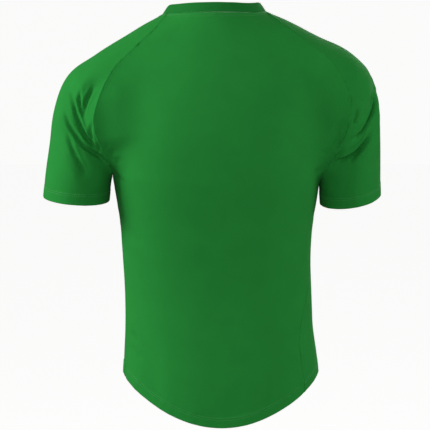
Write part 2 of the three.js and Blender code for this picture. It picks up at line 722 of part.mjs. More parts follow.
/** Half the seam's gap, from a seam place towards the panel's inside.
 *  Near the underarm, sleeve and body fold back on each other, so there they part sideways. */
function seamPull(place, inside, before, after, outwards) {
  const run = after.clone().sub(before).normalize();
  const pull = inside.clone().sub(place.point);
  pull.addScaledVector(run, -pull.dot(run));
  pull.addScaledVector(place.normal, -pull.dot(place.normal)).normalize();
  if (place.apart) pull.addScaledVector(place.apart, outwards);
  return pull.multiplyScalar(SEAM_GAP / 2);
}

/** Turns a grid of cloth into a closed wall. closedFrom is the first row whose ends are joined. */
function clothSolid(grid, { sewnRow, closedFrom = Infinity }) {
  const rows = grid.length;
  const columns = grid[0].length - 1;
  const pointAt = (j, i) => grid[j][i].point;
  const outwards = closedFrom < rows ? 1 : -1;
  const pulls = grid.map((row) => row.map(() => new THREE.Vector3()));
  for (let j = 0; j < rows; j += 1) {
    if (j > closedFrom) continue;
    const lower = Math.max(0, j - 1);
    const upper = Math.min(rows - 1, j + 1);
    if (j === closedFrom) {
      const [before, after] = [pointAt(lower, 0), pointAt(lower, columns)];
      pulls[j][0].add(seamPull(grid[j][0], pointAt(upper, 0), before, after, outwards));
      continue;
    }
    for (const [edge, inside] of [[0, 1], [columns, columns - 1]]) {
      const [before, after] = [pointAt(lower, edge), pointAt(upper, edge)];
      pulls[j][edge].add(seamPull(grid[j][edge], pointAt(j, inside), before, after, outwards));
    }
  }
  const inward = sewnRow === 0 ? 1 : sewnRow - 1;
  for (let i = 0; i <= columns; i += 1) {
    const before = pointAt(sewnRow, Math.max(0, i - 1));
    const after = pointAt(sewnRow, Math.min(columns, i + 1));
    pulls[sewnRow][i].add(seamPull(grid[sewnRow][i], pointAt(inward, i), before, after, 0));
  }
  const outer = [];
  const inner = [];
  const index = [];
  for (let j = 0; j < rows; j += 1) {
    index.push([]);
    for (let i = 0; i <= columns; i += 1) {
      if (i === columns && j >= closedFrom) {
        index[j].push(index[j][0]);
        continue;
      }
      index[j].push(outer.length);
      const place = grid[j][i];
      const point = place.point.clone().add(pulls[j][i]);
      outer.push(point);
      inner.push(point.clone().addScaledVector(place.normal, -place.wall));
    }
  }
  const triangles = [];
  for (let j = 0; j < rows - 1; j += 1) {
    for (let i = 0; i < columns; i += 1) {
      const [a, b, c, d] = [index[j][i], index[j][i + 1], index[j + 1][i + 1], index[j + 1][i]];
      if (outer[a].distanceTo(outer[c]) <= outer[b].distanceTo(outer[d])) {
        triangles.push([a, b, c], [a, c, d]);
      } else {
        triangles.push([a, b, d], [b, c, d]);
      }
    }
  }
  return closeWall(outer, inner, triangles);
}

/** Joins an outer and an inner sheet along their free edges into one closed body. */
function closeWall(outer, inner, triangles) {
  const count = outer.length;
  const used = new Set();
  for (const [a, b, c] of triangles) {
    used.add(`${a}_${b}`).add(`${b}_${c}`).add(`${c}_${a}`);
  }
  const faces = [];
  for (const [a, b, c] of triangles) {
    faces.push([a, b, c], [count + a, count + c, count + b]);
    for (const [from, to] of [[a, b], [b, c], [c, a]]) {
      if (used.has(`${to}_${from}`)) continue;
      faces.push([to, from, count + from], [to, count + from, count + to]);
    }
  }
  return facesToGeometry([...outer, ...inner], faces);
}

/** A geometry from points and triangles, turned so that its faces point outwards. */
function facesToGeometry(points, faces) {
  const volume = faces.reduce((sum, [a, b, c]) => (
    sum + points[a].dot(new THREE.Vector3().crossVectors(points[b], points[c]))
  ), 0);
  const outward = volume > 0 ? faces : faces.map(([a, b, c]) => [a, c, b]);
  const geometry = new THREE.BufferGeometry();
  geometry.setAttribute('position', new THREE.Float32BufferAttribute(
    points.flatMap((p) => [p.x, p.y, p.z]), 3,
  ));
  geometry.setIndex(outward.flat());
  geometry.computeVertexNormals();
  return geometry;
}

/** The rib band round the neck: a doubled strip that stands up from the neck seam and leans in. */
function collarSolid(ring) {
  const profile = [
    { up: 0, out: 0.5 },
    { up: 0.3, out: 0.62 },
    { up: 0.82, out: 0.58 },
    { up: 1, out: 0.12 },
    { up: 0.96, out: -0.3 },
    { up: 0.5, out: -0.4 },
    { up: 0, out: -0.5 },
  ];
  const middle = new THREE.Vector3(0, (NECK.back - NECK.front) / 2, 0);
  const points = [];
  ring.forEach((place, i) => {
    const before = ring[(i + ring.length - 1) % ring.length].point;
    const after = ring[(i + 1) % ring.length].point;
    const run = after.clone().sub(before).normalize();
    const outward = place.point.clone().sub(middle).setZ(0).normalize();
    const { back, side, front } = COLLAR.lean;
    const ends = outward.y > 0 ? back : front;
    const lean = THREE.MathUtils.lerp(side, ends, outward.y ** 2);
    const up = UP.clone().addScaledVector(outward, -lean);
    up.addScaledVector(run, -up.dot(run)).normalize();
    const thick = new THREE.Vector3().crossVectors(run, up);
    if (thick.dot(outward) < 0) thick.negate();
    for (const { up: rise, out } of profile) {
      const turn = Math.min(1, rise * 3);
      const across = place.normal.clone().lerp(thick, turn).normalize();
      const shift = (out - 0.5) * COLLAR.cloth;
      points.push(place.point.clone()
        .addScaledVector(up, SEAM_GAP / 2 + rise * COLLAR.height)
        .addScaledVector(across, shift));
    }
  });
  const size = profile.length;
  const faces = [];
  for (let i = 0; i < ring.length; i += 1) {
    const next = (i + 1) % ring.length;
    for (let s = 0; s < size; s += 1) {
      const t = (s + 1) % size;
      const [a, b, c, d] = [i * size + s, i * size + t, next * size + t, next * size + s];
      faces.push([a, b, c], [a, c, d]);
    }
  }
  return facesToGeometry(points, faces);
}

/** All the seams, each worked out once and shared by the pieces that it joins. */
function makeSeams() {
  const { left, right } = NECK;
  const neck = {
    back: neckStretch(left.back, -right.back, GRID.bodyColumns),
    front: neckStretch(left.front, 360 - right.front, GRID.bodyColumns),
    left: neckStretch(left.back, left.front, GRID.sleeveColumns, SLEEVE_CROWDING),
    right: neckStretch(-right.back, -right.front, GRID.sleeveColumns, SLEEVE_CROWDING),
  };
  const seams = {
    neck,
    side: { left: sideSeam('left'), right: sideSeam('right') },
    left: { back: raglanSeam('left', 'back'), front: raglanSeam('left', 'front') },
    right: { back: raglanSeam('right', 'back'), front: raglanSeam('right', 'front') },
  };
  for (const name of ['left', 'right']) {
    const sleeve = neck[name];
    const bodyEnd = name === 'left' ? 0 : GRID.bodyColumns;
    for (const [face, end] of [['back', 0], ['front', GRID.sleeveColumns]]) {
      neck[face][bodyEnd] = sleeve[end];
      seams[name][face][0] = sleeve[end];
    }
  }
  return seams;
}

/** The neck seam all the way round, for the collar. */
function neckRing(neck) {
  const some = (places) => places.filter((place, i) => i % GRID.collarSkip === 0);
  const parts = [neck.back, some(neck.right), [...neck.front].reverse(), some(neck.left).reverse()];
  return parts.flatMap((places) => places.slice(0, -1));
}

/** The jersey, one mesh for each piece that is cut and sewn. */
function makeJersey() {
  const seams = makeSeams();
  const jersey = new THREE.Group();
  const cloth = (color, roughness) => new THREE.MeshStandardMaterial({ color, roughness, metalness: 0 });
  const add = (name, geometry, material) => {
    const mesh = new THREE.Mesh(geometry, material);
    mesh.name = name;
    jersey.add(mesh);
  };
  for (const face of ['back', 'front']) {
    const grid = withFolds(bodyGrid(face, seams));
    add(face, clothSolid(grid, { sewnRow: grid.length - 1 }), cloth(JERSEY_GREEN, 0.8));
  }
  for (const name of ['left', 'right']) {
    const grid = withFolds(sleeveGrid(name, seams));
    const geometry = clothSolid(grid, { sewnRow: 0, closedFrom: GRID.raglanRows });
    add(`sleeve_${name}`, geometry, cloth(JERSEY_GREEN, 0.8));
  }
  const ring = withFolds([neckRing(seams.neck)])[0];
  add('collar', collarSolid(ring), cloth(RIB_GREEN, 0.85));
  return jersey;
}

export default makeJersey();
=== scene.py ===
"""A football jersey, filled out as when worn and empty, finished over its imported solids.

Each panel is a thin sheet of knit on the outer side of its solid, with its creases, seams and
folded hems. The collar is its solid's own wall, made smooth and drawn on to the panels' neck edges.
Rows of cover stitch hold the hems, the cuffs and the neck seam.
Metres. +Z is up, the back faces +Y, and +X is the wearer's left.
"""

import math

import bmesh
import bpy
import numpy as np
from bpy.props import FloatProperty, FloatVectorProperty, IntProperty, PointerProperty
from mathutils import Matrix, Vector, noise
from mathutils.bvhtree import BVHTree
from mathutils.kdtree import KDTree


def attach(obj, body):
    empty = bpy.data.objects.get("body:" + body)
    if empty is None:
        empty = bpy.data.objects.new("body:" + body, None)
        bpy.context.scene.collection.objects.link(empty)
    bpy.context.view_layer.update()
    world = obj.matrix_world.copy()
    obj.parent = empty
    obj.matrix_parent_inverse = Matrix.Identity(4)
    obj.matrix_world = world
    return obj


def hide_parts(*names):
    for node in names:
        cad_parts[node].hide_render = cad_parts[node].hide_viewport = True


bl_info = {
    "name": "Football Jersey",
    "version": (1, 0, 0),
    "blender": (4, 5, 0),
    "location": "View3D > Sidebar > Jersey",
    "description": "Builds a raglan football jersey from its packed solids",
    "category": "Object",
}

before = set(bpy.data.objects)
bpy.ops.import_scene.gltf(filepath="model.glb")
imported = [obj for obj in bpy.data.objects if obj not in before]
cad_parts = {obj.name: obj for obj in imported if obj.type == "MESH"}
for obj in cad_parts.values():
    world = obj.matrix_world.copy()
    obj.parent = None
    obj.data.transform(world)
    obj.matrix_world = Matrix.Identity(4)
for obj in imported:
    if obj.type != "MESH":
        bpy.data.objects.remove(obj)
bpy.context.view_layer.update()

MM = 0.001
PANELS = ("back", "front", "sleeve_left", "sleeve_right")

# Corners of the solids' triangles nearer than this are one point
WELD = 0.01 * MM
# Edges of two pieces nearer than this are sewn together
SEWN = 1.3 * MM
# Share of the way that a sewn edge moves towards its neighbour
DRAWN_IN = 0.62
# Width of the strip of small faces along a panel's edges
EDGE_STRIP = 3.2 * MM
# Faces nearer than this to a crease are divided once more
CREASE_SURROUNDINGS = 11 * MM

# Studio: how far the floor lies below the origin, how far it reaches, and the dome behind it
FLOOR_DROP = 3.0
FLOOR_REACH = 200
DOME_RADIUS = 25

# Creases in millimetres, each a line of (across, height) places seen from behind or from in front.
# deep is the depth of the trough, wide its half width, and lip how much higher the bank on the
# right of the line stands than the one on its left, as a share. A negative depth is a soft ridge.
CREASES = [
    # Left sleeve, from behind: long drags from the shoulder down to the underarm
    ("back", [(235, -112), (228, -137), (223, -156), (217, -172), (209, -189), (202, -199),
              (190, -214)], 4.8, 3.1, -0.4),
    ("back", [(218, -112), (218, -134), (214, -158)], 3.6, 2.9, -0.3),
    ("back", [(191, -107), (202, -124), (209, -142), (211, -160)], 3.4, 3.2, 0.3),
    ("back", [(245, -140), (239, -161), (233, -175), (223, -190), (212, -205), (197, -216), (185, -225),
              (174, -238)], 5.2, 3.2, -0.4),
    ("back", [(240, -180), (233, -201), (225, -222), (217, -239), (209, -254)], 3.2, 3.3, -0.4),
    ("back", [(196, -162), (200, -178), (199, -195), (196, -207)], 2.4, 3.1, 0.2),
    ("back", [(183, -192), (187, -206), (185, -218)], 1.8, 3.4, 0.2),
    ("back", [(228, -200), (215, -232), (212, -262)], 1.2, 8.0, 0.3),
    # Right sleeve, from behind
    ("back", [(-261, -118), (-260, -138), (-250, -161), (-236, -184), (-219, -202)], 8.4, 3.8, 0.8),
    ("back", [(-256, -100), (-260, -110), (-263, -122)], -2.5, 9.0, 0),
    ("back", [(-258, -178), (-246, -198), (-236, -210), (-223, -222), (-209, -229),
              (-193, -238)], 7.4, 3.5, 0.7),
    ("back", [(-240, -207), (-229, -220), (-218, -237)], 3.6, 3.3, 0.4),
    ("back", [(-229, -146), (-225, -160), (-221, -175)], 3.2, 3.2, 0.3),
    ("back", [(-208, -160), (-200, -186), (-190, -210)], 2.0, 8.0, 0),
    ("back", [(-265, -152), (-268, -190), (-267, -236)], -1.6, 5.0, 0),
    ("back", [(-205, -212), (-198, -226), (-190, -242)], 2.4, 3.1, 0.2),
    # Small pulls where the raglan seams meet the back panel
    ("back", [(176, -196), (177, -208), (173, -220)], 1.3, 4.4, 0.3),
    ("back", [(163, -208), (168, -220), (166, -232)], 1.8, 4.4, 0.3),
    ("back", [(152, -220), (159, -233), (160, -246)], 1.5, 4.8, 0.2),
    # The back panel lies fuller beside the left sleeve
    ("back", [(164, -84), (160, -126), (157, -168), (150, -214)], -5.0, 27.0, 0),
    ("back", [(168, -250), (157, -258), (144, -266)], 1.2, 5.0, 0),
    ("back", [(-196, -196), (-184, -214), (-170, -224)], 1.6, 5.0, 0),
    ("back", [(-184, -232), (-172, -246), (-158, -252)], 1.2, 5.0, 0),
    # Back panel: slack at the side seams and over the hem
    ("back", [(140, -512), (134, -520), (126, -530)], 1.5, 5.0, 0.2),
    ("back", [(143, -536), (132, -548), (120, -556)], 1.0, 6.0, 0),
    ("back", [(150, -330), (136, -352), (116, -366)], 0.9, 9.0, 0),
    ("back", [(-152, -392), (-136, -408), (-112, -420)], 0.8, 10.0, 0),
    ("back", [(104, -540), (100, -590), (96, -640)], 1.0, 12.0, 0),
    ("back", [(-78, -560), (-82, -604), (-80, -646)], 0.9, 13.0, 0),
    # Left sleeve, from in front
    ("front", [(238, -116), (222, -154), (204, -190), (182, -220)], 4.2, 3.5, 0.4),
    ("front", [(243, -158), (224, -196), (200, -226), (176, -240)], 4.2, 3.4, 0.4),
    ("front", [(206, -110), (208, -138), (201, -168)], 3.0, 3.5, -0.2),
    ("front", [(234, -204), (221, -236), (207, -260)], 2.8, 3.5, 0.3),
    ("front", [(222, -128), (219, -150), (212, -174)], 2.4, 3.3, 0.2),
    ("front", [(190, -178), (190, -196), (184, -212)], 2.4, 3.2, 0),
    # Right sleeve, from in front
    ("front", [(-248, -110), (-236, -150), (-216, -186), (-190, -222)], 4.6, 3.6, -0.4),
    ("front", [(-254, -160), (-236, -200), (-210, -232), (-186, -250)], 4.2, 3.4, -0.4),
    ("front", [(-214, -118), (-214, -146), (-205, -180)], 2.8, 3.5, 0.2),
    ("front", [(-244, -206), (-228, -240), (-214, -266)], 2.6, 3.5, -0.2),
    ("front", [(-196, -188), (-197, -206), (-190, -226)], 2.4, 3.2, 0),
    # Front panel: drags from the underarms, and slack over the belly and the hem
    ("front", [(168, -236), (150, -226), (122, -220)], 1.6, 6.0, 0),
    ("front", [(160, -262), (140, -262), (112, -270)], 1.3, 7.0, 0),
    ("front", [(-174, -250), (-154, -240), (-126, -236)], 1.6, 6.0, 0),
    ("front", [(-166, -276), (-146, -276), (-118, -286)], 1.3, 7.0, 0),
    ("front", [(122, -110), (139, -152), (156, -200)], 1.4, 7.0, 0.2),
    ("front", [(-122, -106), (-142, -150), (-163, -204)], 1.6, 7.0, -0.2),
    ("front", [(128, -330), (104, -372), (92, -430)], 1.2, 10.0, 0),
    ("front", [(-132, -340), (-108, -388), (-96, -452)], 1.2, 10.0, 0),
    ("front", [(30, -380), (0, -400), (-40, -396)], 0.8, 13.0, 0),
    ("front", [(66, -500), (58, -552), (60, -600)], 1.1, 10.0, 0),
    ("front", [(-50, -510), (-62, -556), (-60, -604)], 1.1, 11.0, 0),
]


def linear(code):
    """A colour from its sRGB hex code, as linear red, green, blue and alpha."""
    parts = [int(code[i:i + 2], 16) / 255 for i in (1, 3, 5)]
    return [c / 12.92 if c <= 0.04045 else ((c + 0.055) / 1.055) ** 2.4 for c in parts] + [1.0]


class ClothSettings(bpy.types.PropertyGroup):
    """The knit and how it lies."""

    thickness: FloatProperty(
        name="Knit thickness", description="Thickness of one layer of the knit",
        default=0.8 * MM, min=0.3 * MM, max=2 * MM, precision=4, unit="LENGTH")
    refinement: IntProperty(
        name="Refinement", description="Times that each panel's mesh is subdivided",
        default=2, min=1, max=3)
    crease_strength: FloatProperty(
        name="Crease strength", description="Multiplies the depth of the listed creases",
        default=1.0, min=0, max=2, subtype="FACTOR")
    slackness: FloatProperty(
        name="Slackness", description="Height of the broad, soft undulations of the cloth",
        default=0.7 * MM, min=0, max=5 * MM, precision=4, unit="LENGTH")
    wale_spacing: FloatProperty(
        name="Wale spacing", description="Distance between the knit's upright columns of loops",
        default=1.2 * MM, min=0.4 * MM, max=4 * MM, precision=4, unit="LENGTH")
    colour: FloatVectorProperty(
        name="Jersey colour", description="Colour of the dyed polyester",
        default=linear("#1D712C"), size=4, min=0, max=1, subtype="COLOR")
    rib_colour: FloatVectorProperty(
        name="Collar colour", description="Colour of the rib knit of the collar",
        default=linear("#176527"), size=4, min=0, max=1, subtype="COLOR")


class SewingSettings(bpy.types.PropertyGroup):
    """Seams, hems and stitches."""

    seam_depth: FloatProperty(
        name="Seam depth", description="How far the cloth dips into a seam",
        default=0.7 * MM, min=0, max=3 * MM, precision=4, unit="LENGTH")
    hem_height: FloatProperty(
        name="Hem height", description="Height of the folded band at the hem",
        default=17.5 * MM, min=5 * MM, max=50 * MM, precision=4, unit="LENGTH")
    cuff_height: FloatProperty(
        name="Cuff height", description="Height of the folded band at each cuff",
        default=19.5 * MM, min=5 * MM, max=50 * MM, precision=4, unit="LENGTH")
    neck_row: FloatProperty(
        name="Neck row", description="Distance of the cover stitch from the collar's seam",
        default=6.5 * MM, min=2 * MM, max=15 * MM, precision=4, unit="LENGTH")
    needle_gap: FloatProperty(
        name="Needle gap", description="Distance between the two rows of a cover stitch",
        default=3.2 * MM, min=1 * MM, max=8 * MM, precision=4, unit="LENGTH")
    stitch_pitch: FloatProperty(
        name="Stitch pitch", description="Distance from one stitch to the next",
        default=3.2 * MM, min=1.5 * MM, max=6 * MM, precision=4, unit="LENGTH")
    thread_width: FloatProperty(
        name="Thread width", description="Width of the sewing thread as it lies",
        default=0.55 * MM, min=0.2 * MM, max=1.5 * MM, precision=4, unit="LENGTH")
    thread_colour: FloatVectorProperty(
        name="Thread colour", description="Colour of the sewing thread",
        default=linear("#237F37"), size=4, min=0, max=1, subtype="COLOR")


class StudioSettings(bpy.types.PropertyGroup):
    """Light, floor and camera."""

    surroundings: FloatProperty(
        name="Surroundings", description="Brightness of the pale studio all round",
        default=0.3, min=0, max=3, subtype="FACTOR")
    key_power: FloatProperty(
        name="Key light", description="Power of the large light at the jersey's left",
        default=134, min=0, max=1000, unit="POWER")
    fill_power: FloatProperty(
        name="Fill light", description="Power of the broad light beside the camera",
        default=52, min=0, max=1000, unit="POWER")
    front_power: FloatProperty(
        name="Front light", description="Power of the light that faces the jersey's front",
        default=80, min=0, max=1000, unit="POWER")
    side_power: FloatProperty(
        name="Side light", description="Power of the weaker light at the jersey's right",
        default=45, min=0, max=1000, unit="POWER")
    camera_distance: FloatProperty(
        name="Camera distance", description="From the camera to the middle of the jersey",
        default=3.0, min=0.5, max=20, unit="LENGTH")
    floor_glow: FloatProperty(
        name="Studio glow", description="Brightness that the floor and the dome have of their own",
        default=0.68, min=0, max=2, subtype="FACTOR")
    floor_colour: FloatVectorProperty(
        name="Floor colour", description="Colour of the plain pale floor and of the dome",
        default=linear("#F4F4F2"), size=4, min=0, max=1, subtype="COLOR")


def add_node(tree, kind, inputs=None, **settings):
    """A node with its settings; each input is a value, or the output of another node."""
    made = tree.nodes.new(kind)
    for name, value in settings.items():
        setattr(made, name, value)
    for key, value in (inputs or {}).items():
        if isinstance(value, bpy.types.NodeSocket):
            tree.links.new(value, made.inputs[key])
        else:
            made.inputs[key].default_value = value
    return made


def new_material(name):
    """An empty node material and its tree."""
    material = bpy.data.materials.new(name)
    material.use_nodes = True
    material.node_tree.nodes.clear()
    return material, material.node_tree


def polyester_knit(cloth):
    """Dyed polyester interlock: matt, with a faint sheen at the edges and fine upright wales."""
    material, tree = new_material("polyester_interlock_knit")
    place = add_node(tree, "ShaderNodeUVMap", uv_map="cloth")
    axes = add_node(tree, "ShaderNodeSeparateXYZ", {0: place.outputs[0]})
    # Real wales are about 0.8 mm apart: these are drawn coarser, so that they show
    turns = 2 * math.pi / cloth.wale_spacing
    wale_turn = add_node(tree, "ShaderNodeMath", {0: axes.outputs[0], 1: turns}, operation="MULTIPLY")
    wales = add_node(tree, "ShaderNodeMath", {0: wale_turn.outputs[0]}, operation="SINE")
    course_turn = add_node(
        tree, "ShaderNodeMath", {0: axes.outputs[1], 1: turns * 1.25}, operation="MULTIPLY")
    courses = add_node(tree, "ShaderNodeMath", {0: course_turn.outputs[0]}, operation="SINE")
    loops = add_node(
        tree, "ShaderNodeMath",
        {0: wales.outputs[0], 1: courses.outputs[0], 2: wales.outputs[0]}, operation="MULTIPLY_ADD")
    # Yarns lie a little unevenly, which keeps the knit from looking printed
    uneven = add_node(
        tree, "ShaderNodeTexNoise", {"Vector": place.outputs[0], "Scale": 420, "Detail": 3})
    relief = add_node(
        tree, "ShaderNodeMath", {0: uneven.outputs["Fac"], 1: 1.6, 2: loops.outputs[0]},
        operation="MULTIPLY_ADD")
    bump = add_node(
        tree, "ShaderNodeBump",
        {"Strength": 0.32, "Distance": 0.12 * MM, "Height": relief.outputs[0]})
    # The dye takes a little darker and lighter in patches a few centimetres wide
    body = add_node(tree, "ShaderNodeTexCoord")
    patches = add_node(
        tree, "ShaderNodeTexNoise",
        {"Vector": body.outputs["Object"], "Scale": 26, "Detail": 4, "Roughness": 0.55})
    deeper = [c * 0.965 for c in cloth.colour[:3]] + [1.0]
    lighter = [c * 1.03 for c in cloth.colour[:3]] + [1.0]
    tone = add_node(tree, "ShaderNodeValToRGB", {"Fac": patches.outputs["Fac"]})
    tone.color_ramp.elements[0].position = 0.3
    tone.color_ramp.elements[0].color = deeper
    tone.color_ramp.elements[1].position = 0.7
    tone.color_ramp.elements[1].color = lighter
    shader = add_node(
        tree, "ShaderNodeBsdfPrincipled",
        {"Base Color": tone.outputs["Color"], "Roughness": 0.8, "IOR": 1.5,
         "Specular IOR Level": 0.03, "Sheen Weight": 0.02, "Sheen Roughness": 0.45,
         "Sheen Tint": linear("#BFE8B8"), "Normal": bump.outputs["Normal"]})
    add_node(tree, "ShaderNodeOutputMaterial", {"Surface": shader.outputs["BSDF"]})
    return material


def rib_knit(cloth):
    """One-by-one rib of the collar: upright ridges two millimetres apart, softer than the panels, with
    painted shade in the grooves and a painted highlight on the ridges.
    """
    material, tree = new_material("polyester_rib_knit")
    place = add_node(tree, "ShaderNodeUVMap", uv_map="cloth")
    axes = add_node(tree, "ShaderNodeSeparateXYZ", {0: place.outputs[0]})
    rib_spacing = 2.0 * MM
    turn = add_node(
        tree, "ShaderNodeMath", {0: axes.outputs[0], 1: 2 * math.pi / rib_spacing},
        operation="MULTIPLY")
    ribs = add_node(tree, "ShaderNodeMath", {0: turn.outputs[0]}, operation="SINE")
    uneven = add_node(
        tree, "ShaderNodeTexNoise", {"Vector": place.outputs[0], "Scale": 500, "Detail": 3})
    relief = add_node(
        tree, "ShaderNodeMath", {0: uneven.outputs["Fac"], 1: 0.9, 2: ribs.outputs[0]},
        operation="MULTIPLY_ADD")
    bump = add_node(
        tree, "ShaderNodeBump",
        {"Strength": 0.5, "Distance": 0.3 * MM, "Height": relief.outputs[0]})
    # The colour follows the ribs: painted shade darkens the grooves and a painted highlight lightens
    # the ridge tops
    tone = add_node(tree, "ShaderNodeValToRGB", {"Fac": ribs.outputs[0]})
    tone.color_ramp.elements[0].color = [c * 0.85 for c in cloth.rib_colour[:3]] + [1.0]
    tone.color_ramp.elements[1].color = [c * 1.08 for c in cloth.rib_colour[:3]] + [1.0]
    shader = add_node(
        tree, "ShaderNodeBsdfPrincipled",
        {"Base Color": tone.outputs["Color"], "Roughness": 0.8, "IOR": 1.5,
         "Specular IOR Level": 0.03, "Sheen Weight": 0.02, "Sheen Roughness": 0.5,
         "Sheen Tint": linear("#BFE8B8"), "Normal": bump.outputs["Normal"]})
    add_node(tree, "ShaderNodeOutputMaterial", {"Surface": shader.outputs["BSDF"]})
    return material


def sewing_thread(sewing):
    """Spun polyester thread: a shade lighter than the knit, with a soft gloss along its twist."""
    material, tree = new_material("spun_polyester_thread")
    body = add_node(tree, "ShaderNodeTexCoord")
    twist = add_node(
        tree, "ShaderNodeTexNoise", {"Vector": body.outputs["Object"], "Scale": 2600, "Detail": 2})
    tone = add_node(tree, "ShaderNodeValToRGB", {"Fac": twist.outputs["Fac"]})
    tone.color_ramp.elements[0].color = [c * 0.8 for c in sewing.thread_colour[:3]] + [1.0]
    tone.color_ramp.elements[1].color = [c * 1.15 for c in sewing.thread_colour[:3]] + [1.0]
    shader = add_node(
        tree, "ShaderNodeBsdfPrincipled",
        {"Base Color": tone.outputs["Color"], "Roughness": 0.45, "IOR": 1.5, "Sheen Weight": 0.1})
    add_node(tree, "ShaderNodeOutputMaterial", {"Surface": shader.outputs["BSDF"]})
    return material


def painted_floor(studio):
    """Matt white paint, a shade off white and evenly lit, with the unevenness of a roller."""
    material, tree = new_material("matt_white_floor_paint")
    body = add_node(tree, "ShaderNodeTexCoord")
    rolled = add_node(
        tree, "ShaderNodeTexNoise", {"Vector": body.outputs["Object"], "Scale": 0.4, "Detail": 2})
    tone = add_node(tree, "ShaderNodeValToRGB", {"Fac": rolled.outputs["Fac"]})
    tone.color_ramp.elements[0].color = [c * 0.985 for c in studio.floor_colour[:3]] + [1.0]
    tone.color_ramp.elements[1].color = studio.floor_colour
    shader = add_node(
        tree, "ShaderNodeBsdfPrincipled",
        {"Base Color": tone.outputs["Color"], "Roughness": 0.9, "Specular IOR Level": 0.1,
         "Emission Color": (1, 1, 1, 1), "Emission Strength": studio.floor_glow})
    add_node(tree, "ShaderNodeOutputMaterial", {"Surface": shader.outputs["BSDF"]})
    return material


def material_once(name, make, settings):
    """The material of that name, made the first time that it is asked for."""
    return bpy.data.materials.get(name) or make(settings)


def link_object(name, mesh):
    """A new object in the scene with that mesh."""
    piece = bpy.data.objects.new(name, mesh)
    bpy.context.scene.collection.objects.link(piece)
    return piece


def welded(node):
    """A solid's mesh with its loose triangles joined at their corners."""
    bm = bmesh.new()
    bm.from_mesh(node.data)
    bmesh.ops.remove_doubles(bm, verts=bm.verts, dist=WELD)
    return bm


def join_quads(bm):
    """Joins pairs of triangles to quads."""
    bmesh.ops.join_triangles(
        bm, faces=bm.faces, angle_face_threshold=math.radians(60),
        angle_shape_threshold=math.radians(70))


def outer_side(node):
    """The outer side of a panel's solid wall, in quads."""
    bm = welded(node)
    bm.normal_update()
    rim_angle = math.radians(42)
    unseen = set(bm.faces)
    sides = []
    while unseen:
        start = unseen.pop()
        side = [start]
        queue = [start]
        while queue:
            face = queue.pop()
            for edge in face.edges:
                if len(edge.link_faces) != 2 or edge.calc_face_angle() > rim_angle:
                    continue
                for other in edge.link_faces:
                    if other in unseen:
                        unseen.discard(other)
                        side.append(other)
                        queue.append(other)
        sides.append(side)
    sides.sort(key=lambda side: -sum(face.calc_area() for face in side))
    outer = set(sides[0])
    bmesh.ops.delete(bm, geom=[f for f in bm.faces if f not in outer], context="FACES")
    join_quads(bm)
    return bm


def edge_corners(bm):
    """Places where a panel's edge turns a corner."""
    corners = []
    for vert in bm.verts:
        ends = [e.other_vert(vert).co for e in vert.link_edges if e.is_boundary]
        if len(ends) != 2:
            continue
        turn = (vert.co - ends[0]).angle(ends[1] - vert.co)
        if turn > math.radians(35):
            corners.append(vert.co.copy())
    return corners


def refine(bm, name, levels, strip):
    """The panel's mesh, smoothed and subdivided, with a narrow strip of faces along its edges."""
    corners = edge_corners(bm)
    if strip:
        bmesh.ops.inset_region(
            bm, faces=bm.faces, use_boundary=True, use_even_offset=True, thickness=strip)
    crease = bm.verts.layers.float.get("crease_vert") or bm.verts.layers.float.new("crease_vert")
    for vert in bm.verts:
        if vert.is_boundary and any((vert.co - c).length < 2 * WELD for c in corners):
            vert[crease] = 1.0
    rough = bpy.data.meshes.new(name + "_rough")
    bm.to_mesh(rough)
    bm.free()
    holder = link_object(name + "_rough", rough)
    smoother = holder.modifiers.new("Subdivision", "SUBSURF")
    smoother.levels = levels
    smoother.render_levels = levels
    smoother.boundary_smooth = "PRESERVE_CORNERS"
    depsgraph = bpy.context.evaluated_depsgraph_get()
    mesh = bpy.data.meshes.new_from_object(holder.evaluated_get(depsgraph))
    mesh.name = name
    bpy.data.objects.remove(holder)
    bpy.data.meshes.remove(rough)
    return mesh


def refine_creased(mesh, lines, reach):
    """Subdivides a panel's faces once more beside the creases."""
    tree = tree_of([place for line in lines for place in line])
    bm = bmesh.new()
    bm.from_mesh(mesh)
    near = {v for v in bm.verts if tree.find(v.co)[2] < reach}
    edges = [e for e in bm.edges if e.verts[0] in near and e.verts[1] in near]
    bmesh.ops.subdivide_edges(
        bm, edges=edges, cuts=1, use_grid_fill=True, smooth=1.0, smooth_falloff="LINEAR")
    bm.to_mesh(mesh)
    bm.free()


def read_points(mesh):
    """The mesh's points and their normals, as two arrays."""
    points = np.empty(len(mesh.vertices) * 3)
    normals = np.empty(len(mesh.vertices) * 3)
    mesh.vertices.foreach_get("co", points)
    mesh.vertices.foreach_get("normal", normals)
    return points.reshape(-1, 3), normals.reshape(-1, 3)


def edge_runs(mesh):
    """The mesh's open edges, as (start, end) point numbers."""
    bm = bmesh.new()
    bm.from_mesh(mesh)
    runs = [(e.verts[0].index, e.verts[1].index) for e in bm.edges if e.is_boundary]
    bm.free()
    return runs


def tree_of(places):
    """A tree for finding the nearest of some places."""
    tree = KDTree(len(places))
    for i, place in enumerate(places):
        tree.insert(place, i)
    tree.balance()
    return tree


def surface_of(meshes):
    """One searchable surface of several meshes."""
    points = []
    faces = []
    for mesh in meshes:
        start = len(points)
        points.extend(v.co.copy() for v in mesh.vertices)
        faces.extend([start + i for i in p.vertices] for p in mesh.polygons)
    return BVHTree.FromPolygons(points, faces)


